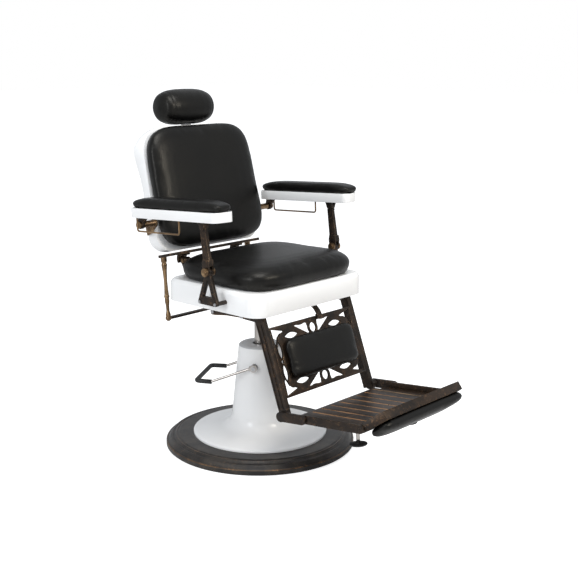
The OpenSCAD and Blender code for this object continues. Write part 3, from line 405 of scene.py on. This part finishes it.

# The edge bronze is brighter copper: partly rubbed wear, partly painted highlight on the edges.
casting_edge = bronze("rubbed bronze edge with painted highlight", *EDGE_TONES, 1.5, 0.34, 0.7)
turned_gold = bronze("rubbed gold bronze", *TURNED_TONES, 1.5, 0.3, 0.85)
# Copper painted as highlight lines in the tread's grooves.
groove_highlight = bronze("painted highlight in the grooves", *GROOVE_HIGHLIGHT_TONES, 1.4, 0.4, 0.5)
ring_cast = bronze("base casting", *RING_TONES, 0.35, 0.4, 0.45)
# Brighter copper for the base's raised bead and rim line: partly rubbed wear, partly painted highlight.
ring_edge = bronze("base casting edge", (0.05, 0.038, 0.028), (0.13, 0.08, 0.045), COPPER, 1.0, 0.38, 0.6)
enamel = enamel_paint()
vinyl = black_vinyl()
chrome = plain_metal("chrome", (0.46, 0.43, 0.4), 0.14)
steel = plain_metal("plain steel", (0.45, 0.45, 0.46), 0.34, 0.2)
rubber = plain_surface("black rubber", (0.014, 0.014, 0.014), (0.03, 0.03, 0.03), 0.5, 180.0, 0.2)
cap_plastic = plain_surface("grey cap", (0.5, 0.5, 0.51), (0.58, 0.58, 0.59), 0.16, 40.0, 0.02)
plywood = plain_surface("plywood", (0.42, 0.28, 0.16), (0.6, 0.44, 0.28), 0.55, 30.0, 0.1)

# ---- camera, light and floor ----

CAMERA_PLACE = Vector((-2.5522, -2.4376, 1.3394))
CAMERA_AZIMUTH = -47.95
CAMERA_PITCH = 12.64
CAMERA_ROLL = 0.15
CAMERA_LENS = 65.6
SKY_COLOUR = (0.93, 0.96, 1.0, 1)
SKY_STRENGTH = 0.63
WHITE = (1, 1, 1, 1)
FLOOR_TONE = (0.8, 0.8, 0.8, 1)
FLOOR_GLOW = 0.72
FLOOR_SIZE = 30


def make_camera():
    data = bpy.data.cameras.new("camera")
    data.lens = CAMERA_LENS
    data.sensor_width = 36
    camera = bpy.data.objects.new("camera", data)
    bpy.context.scene.collection.objects.link(camera)
    turn = Matrix.Rotation(math.radians(CAMERA_AZIMUTH), 4, "Z")
    pitch = Matrix.Rotation(math.radians(90 - CAMERA_PITCH), 4, "X")
    roll = Matrix.Rotation(math.radians(CAMERA_ROLL), 4, "Z")
    camera.matrix_world = Matrix.Translation(CAMERA_PLACE) @ turn @ pitch @ roll
    bpy.context.scene.camera = camera


def white_for_camera(sheet):
    """1 for rays from the camera, also through clear material, and 0 for all other rays."""
    path = sheet.add("ShaderNodeLightPath").outputs
    return sheet.math("MAXIMUM", path["Is Camera Ray"], path["Is Transmission Ray"])


def make_world():
    world = bpy.data.worlds.new("studio")
    bpy.context.scene.world = world
    world.use_nodes = True
    sheet = Sheet(world.node_tree)
    light = world.node_tree.nodes["Background"]
    light.inputs["Color"].default_value = SKY_COLOUR
    light.inputs["Strength"].default_value = SKY_STRENGTH
    seen = sheet.add("ShaderNodeBackground", in_Strength=1.0)
    seen.inputs["Color"].default_value = WHITE
    both = sheet.add("ShaderNodeMixShader", in_0=white_for_camera(sheet))
    sheet.give(both.inputs[1], light.outputs[0])
    sheet.give(both.inputs[2], seen.outputs[0])
    sheet.give(world.node_tree.nodes["World Output"].inputs[0], both.outputs[0])


def make_floor():
    bm = bmesh.new()
    bmesh.ops.create_grid(bm, x_segments=1, y_segments=1, size=FLOOR_SIZE)
    mesh = bpy.data.meshes.new("floor")
    bm.to_mesh(mesh)
    bm.free()
    floor = link(mesh, "floor")
    floor.location.z = -0.0005
    material, s, shader, _ = new_material("pale floor")
    shader.inputs["Base Color"].default_value = FLOOR_TONE
    shader.inputs["Roughness"].default_value = 0.9
    shader.inputs["Specular IOR Level"].default_value = 0.0
    glow = s.add("ShaderNodeEmission", in_Strength=s.math("MULTIPLY", white_for_camera(s), FLOOR_GLOW))
    both = s.add("ShaderNodeAddShader")
    s.give(both.inputs[0], shader.outputs[0])
    s.give(both.inputs[1], glow.outputs[0])
    s.give(material.node_tree.nodes["Material Output"].inputs[0], both.outputs[0])
    mesh.materials.append(material)


def softbox(name, place, target, size, power, colour=(1, 1, 1)):
    data = bpy.data.lights.new(name, "AREA")
    data.shape = "RECTANGLE"
    data.size, data.size_y = size
    data.energy = power
    data.color = colour
    lamp = bpy.data.objects.new(name, data)
    bpy.context.scene.collection.objects.link(lamp)
    lamp.location = place
    lamp.rotation_euler = (Vector(target) - Vector(place)).to_track_quat("-Z", "Y").to_euler()


make_camera()
make_world()
make_floor()
softbox("top softbox", (-0.6, -0.8, 3.2), (0, 0, 0.6), (1.6, 1.6), 44)
softbox("left softbox", (-3.0, -0.1, 1.7), (0, 0, 0.7), (0.7, 1.8), 25, (0.93, 0.96, 1.0))
softbox("front softbox", (0.4, -3.0, 2.3), (0, 0, 0.6), (1.3, 0.9), 36, (1.0, 0.94, 0.84))
bpy.context.scene.view_settings.view_transform = "Standard"

# ---- base ----


def make_base_ring():
    low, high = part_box("base_ring")
    radius, foot, top = high.x, low.z, high.z
    hub_hole = 0.068
    web = 0.008
    wall = 0.034
    bead_low = 0.004
    profile = [
        (hub_hole, top, 0),
        (radius - 0.046, top, 0.003),
        (radius - 0.040, top - 0.003, 0.002),
        (radius - 0.036, top - 0.0015, 0.0012),
        (radius - 0.032, top - 0.005, 0.002),
        (radius - 0.026, top - 0.0095, 0.002),
        (radius - 0.022, top - 0.007, 0.0015),
        (radius - 0.016, top - 0.0095, 0.004),
        (radius - 0.009, top - 0.018, 0.003),
        (radius - 0.006, top - 0.0215, 0.001),
        (radius - 0.003, top - 0.0205, 0.001),
        (radius, top - 0.0235, 0.002),
        (radius, foot, 0.001),
        (radius - wall, foot, 0),
        (radius - wall, top - web, 0.002),
        (hub_hole, top - web, 0),
        (hub_hole, top, 0),
    ]
    piece = turned("base_ring", "base_casting", profile, [ring_cast, ring_edge], steps=144)
    # The raised bead and the rim line get the brighter copper: partly rubbed wear, partly painted highlight.
    for polygon in piece.data.polygons:
        centre = polygon.center
        reach = math.hypot(centre.x, centre.y)
        on_bead = radius - 0.0375 < reach < radius - wall and centre.z > top - bead_low
        on_line = radius - 0.0035 < reach and centre.z > top - 0.0235
        polygon.material_index = 1 if on_bead or on_line else 0


def make_cover():
    low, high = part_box("pump_cover")
    skirt, foot, top = high.x, low.z, high.z
    lip, lip_depth = 0.069, 0.01
    profile = [
        (skirt - 0.003, foot, 0),
        (skirt, foot, 0),
        (skirt, foot + 0.007, 0.003),
        (skirt - 0.012, foot + 0.010, 0.004),
        (0.124, foot + 0.022, 0.06),
        (0.099, 0.094, 0.05),
        (0.0745, top - 0.004, 0.006),
        (0.0725, top, 0.002),
        (lip, top, 0),
        (lip, top - lip_depth, 0),
    ]
    turned("pump_cover", "pump_cover_shell", profile, [enamel], steps=144, sharp=50)


def make_cap():
    low, top = (corner.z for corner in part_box("cover_cap"))
    bore = 0.026
    chamfer = 0.0015
    profile = [
        (bore, low, 0),
        (bore, top - chamfer, 0),
        (bore + chamfer, top, 0.001),
        (0.066, top, 0.003),
        (0.0725, top - 0.004, 0.003),
        (0.073, low, 0),
        (bore, low, 0),
    ]
    turned("cover_cap", "cover_cap_disc", profile, [cap_plastic], steps=96)


def make_ram():
    low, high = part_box("ram")
    radius = high.x
    stub_length, stub_radius = 0.027, 0.015
    shoulder = high.z - stub_length
    profile = [
        (0, low.z, 0),
        (radius, low.z, 0.002),
        (radius, shoulder, 0.0015),
        (stub_radius, shoulder, 0),
        (stub_radius, high.z, 0.001),
        (0, high.z, 0),
    ]
    turned("ram", "ram_rod", profile, [chrome], steps=64)


make_base_ring()
make_cover()
make_cap()
make_ram()

# ---- castings, pressings and hardware ----

IRON = [casting, casting_edge, groove_highlight]
WORN_AND_HIGHLIT, GROOVE_HIGHLIGHT_SLOT = 1, 2  # places in IRON

# The width of the worn edges, whose brighter copper is partly rubbed wear and partly painted highlight, and
# the castings that have it.
CASTINGS = (
    (0.0018, ("arm_bracket_left", "arm_bracket_right", "hinge_posts")),
    (0.0018, ("leg_arms", "leg_rails", "leg_brace")),
    (0.0011, ("scroll_panel",)),
    (0.001, ("calf_board", "hinge_bands", "back_trim", "crossbar")),
    (0.0018, ("arm_post_left", "arm_post_right")),
    (0.001, ("arm_irons_left", "arm_irons_right")),
    (0.0012, ("foot_tread", "side_plates")),
    (0.0022, ("toe_frame",)),
)


def make_castings():
    for width, names in CASTINGS:
        for name in names:
            bm = copy_of(name)
            break_edges(bm, width, material=WORN_AND_HIGHLIT)
            piece = finished(bm, name, IRON)
            if name == "foot_tread":
                paint_groove_highlights(piece)


def paint_groove_highlights(tread, floor_depth=0.0075, slack=0.0006, half_width=0.16):
    """Copper painted as highlight along the tread's grooves, floors and walls."""
    into = FOOT.inverted()
    for polygon in tread.data.polygons:
        depth = -(into @ polygon.center).z
        upright = slack < depth < floor_depth and abs(polygon.normal.x) > 0.7
        on_wall = upright and abs(polygon.center.x) < half_width
        if on_wall or abs(depth - floor_depth) < slack:
            polygon.material_index = GROOVE_HIGHLIGHT_SLOT


def finish_node(node, material, slot, edge=0.0, segments=2, angle=40, sharp=45, slim=0.0, whole_faces=False):
    """A CAD node in one material, drawn in by slim, with edges broken by the width of edge."""
    bm = copy_of(node, whole_faces)
    if slim:
        slimmed(bm, slim)
    if edge:
        break_edges(bm, edge, segments, angle)
    finished(bm, node, [material], sharp)


def make_gold_parts():
    finish_node("hinge_pins", turned_gold, "copper", edge=0.0008, angle=30, sharp=35, slim=0.0003)
    for name in ("spindles", "arm_pivots"):
        finish_node(name, turned_gold, "copper", edge=0.0008, angle=30, sharp=35)
    for name in ("towel_wire_left", "towel_wire_right"):
        finish_node(name, turned_gold, "copper", sharp=60)


def make_lever():
    finish_node("lever_rod", chrome, "chrome")
    finish_node("lever_clamps", chrome, "chrome", edge=0.0006)
    finish_node("lever_grip", rubber, "rubber")


def make_feet():
    finish_node("foot_stems", chrome, "chrome", edge=0.0005)
    finish_node("foot_pads", rubber, "rubber", edge=0.0012, segments=3, angle=30)


def make_shells():
    look = {"segments": 3, "angle": 38, "sharp": 40, "whole_faces": True}
    finish_node("seat_shell", enamel, "enamel", edge=0.0022, **look)
    finish_node("back_shell", enamel, "enamel", edge=0.002, **look)
    for side in SIDE_NAMES:
        finish_node("arm_shell_" + side, enamel, "enamel", edge=0.0018, **look)


def dress_the_rest():
    """Plain finishes for what is inside or hidden."""
    looks = {
        "bronze": casting, "copper": turned_gold, "enamel": enamel, "vinyl": vinyl, "chrome": chrome,
        "steel": steel, "rubber": rubber, "wood": plywood, "cap_grey": cap_plastic,
    }
    slots = {m["slot"]: looks[m["slot"]] for m in frame["record"]["materials"]}
    wanted = {part["node"]: part["material_slot"] for part in frame["record"]["subparts"]}
    for name, node in nodes.items():
        node.data.materials.clear()
        node.data.materials.append(slots[wanted[name]])


# ---- cushions ----


def resized(bm, node, factors, lean):
    """Scales the bmesh along its own axes, about the middle of the CAD node's box."""
    own = tilted((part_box(node)[0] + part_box(node)[1]) / 2, lean)
    about = own @ Matrix.Diagonal((*factors, 1)) @ own.inverted()
    bmesh.ops.transform(bm, matrix=about, verts=bm.verts)


def puffed(node, voxel, pressure, reach, factors, lean=0.0, seam=None):
    """A stuffed cushion: the CAD form, blown up as cloth, held within reach and then smoothed."""
    bm = copy_of(node)
    resized(bm, node, factors, lean)
    stands_for = [node]
    if node == "back_cushion":
        stands_for.append("back_board")
        wrap_board(bm)
    piece = finish_piece(bm, node + "_cover", BODY_OF[node], [vinyl], stands_for, sharp=60)
    bpy.context.view_layer.objects.active = piece
    for other in bpy.context.selected_objects:
        other.select_set(False)
    piece.select_set(True)
    remesh = piece.modifiers.new("Even faces", "REMESH")
    remesh.mode = "VOXEL"
    remesh.voxel_size = voxel
    remesh.use_smooth_shade = True
    bpy.ops.object.modifier_apply(modifier=remesh.name)
    blow_up(piece, pressure, reach)
    bm = bmesh.new()
    bm.from_mesh(piece.data)
    axes = {"use_axis_x": True, "use_axis_y": True, "use_axis_z": True}
    bmesh.ops.smooth_vert(bm, verts=bm.verts, factor=0.5, **axes)
    if seam:
        press_seams(bm, seam)
    bm.to_mesh(piece.data)
    bm.free()
    piece.data.shade_smooth()
    subdivided(piece)


def blow_up(piece, pressure, reach, frames=20, stiffness=12.0, bending=0.5):
    """Cloth under pressure. No point ends further than reach from where it began."""
    rest = [v.co.copy() for v in piece.data.vertices]
    cloth = piece.modifiers.new("Cover", "CLOTH")
    settings = cloth.settings
    settings.quality = 5
    settings.use_pressure = True
    settings.uniform_pressure_force = pressure
    settings.effector_weights.gravity = 0
    settings.tension_stiffness = stiffness
    settings.compression_stiffness = stiffness
    settings.bending_stiffness = bending
    cloth.collision_settings.use_collision = False
    cloth.point_cache.frame_start = 1
    cloth.point_cache.frame_end = frames
    scene = bpy.context.scene
    for moment in range(1, frames + 1):
        scene.frame_set(moment)
    bpy.ops.object.modifier_apply(modifier=cloth.name)
    scene.frame_set(1)
    for vertex, start in zip(piece.data.vertices, rest):
        move = vertex.co - start
        if move.length > reach:
            vertex.co = start + move * (reach / move.length)


def wrap_board(bm):
    """Draws the rear of the back's cover over the board's edge, where it is stapled behind."""
    into = BACK.inverted()
    board_thickness = 0.0096
    cover_edge = 0.016
    local = [into @ v.co for v in bm.verts]
    rear = max(p.y for p in local)
    for vertex, place in zip(bm.verts, local):
        if place.y > rear - cover_edge:
            vertex.co = BACK @ (place + Vector((0, board_thickness, 0)))


def press_seams(bm, seams):
    """Draws the cover in along each seam, given as (place, plane normal, width, depth)."""
    bm.normal_update()
    moves = []
    for vertex in bm.verts:
        depth = 0.0
        for place, across, width, deep in seams:
            off = abs((vertex.co - place).dot(across))
            depth = max(depth, deep * math.exp(-((off / width) ** 2)))
        moves.append(vertex.normal * -depth)
    for vertex, move in zip(bm.verts, moves):
        vertex.co += move


def make_cushions():
    pillow_end = 0.088
    seam_width, seam_depth = 0.003, 0.0014
    across = Vector((1, 0, 0))
    ends = [(across * side * pillow_end, across, seam_width, seam_depth) for side in SIDES]
    puffed("headrest_pillow", 0.004, 4, 0.003, (0.99, 0.99, 0.985), seam=ends)
    puffed("seat_cushion", 0.006, 4, 0.005, (1.045, 1, 0.985))
    puffed("back_cushion", 0.006, 4, 0.004, (1, 0.985, 1), lean=BACK_LEAN)
    puffed("calf_pad", 0.005, 4, 0.002, (1.08, 1, 1.07), lean=LEG_LEAN)
    for side in SIDE_NAMES:
        puffed("arm_pad_" + side, 0.0045, 3, 0.003, (1.06, 1.014, 1.02))
    puffed("toe_pad", 0.005, 3, 0.002, (1.08, 1, 1))


dress_the_rest()
make_castings()
make_gold_parts()
make_lever()
make_feet()
make_shells()
make_cushions()
